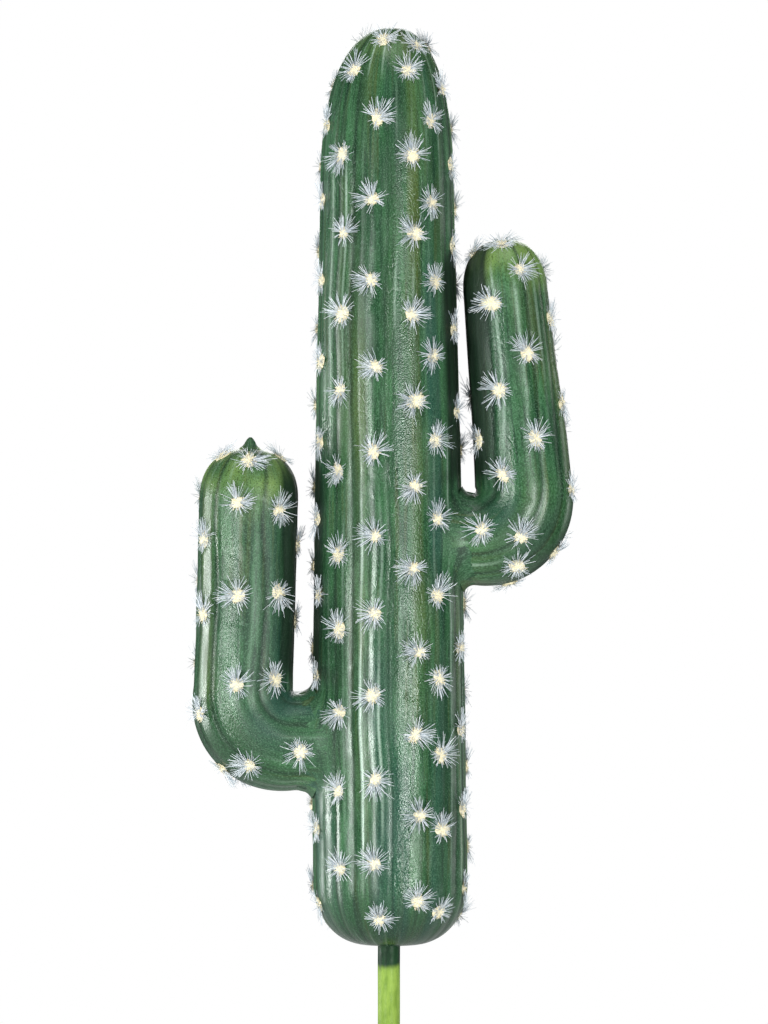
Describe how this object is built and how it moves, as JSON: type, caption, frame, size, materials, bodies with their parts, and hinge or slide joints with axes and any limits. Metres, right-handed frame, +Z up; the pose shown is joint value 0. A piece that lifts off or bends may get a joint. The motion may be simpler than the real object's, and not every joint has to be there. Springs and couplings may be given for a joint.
{
  "type": "artificial saguaro cactus on a stem",
  "caption": "Moulded artificial saguaro cactus: ribbed tapering trunk, two upturned arms and small white bristle tufts, on a thin green stem for pushing into a planter.",
  "frame": {"origin": "middle of the flat cut at the stem's lower end", "axes": "+Z up along the stem and trunk, the front faces -Y, and the two arms lie in the XZ plane with the higher arm towards +X"},
  "size_m": [0.1258, 0.0569, 0.3565],
  "materials": {
    "moulded_skin": "satin moulded skin, dark green with paler and yellow-green patches",
    "stem_plastic": "smooth lime-green plastic coating, dark green at the top",
    "bristles": "fine white bristles round a cream pad"
  },
  "bodies": {
    "root": {"stem": "stem_plastic", "trunk": "moulded_skin", "arm_left_elbow": "moulded_skin", "arm_left_upright": "moulded_skin", "arm_right_elbow": "moulded_skin", "arm_right_upright": "moulded_skin"}
  },
  "joints": []
}
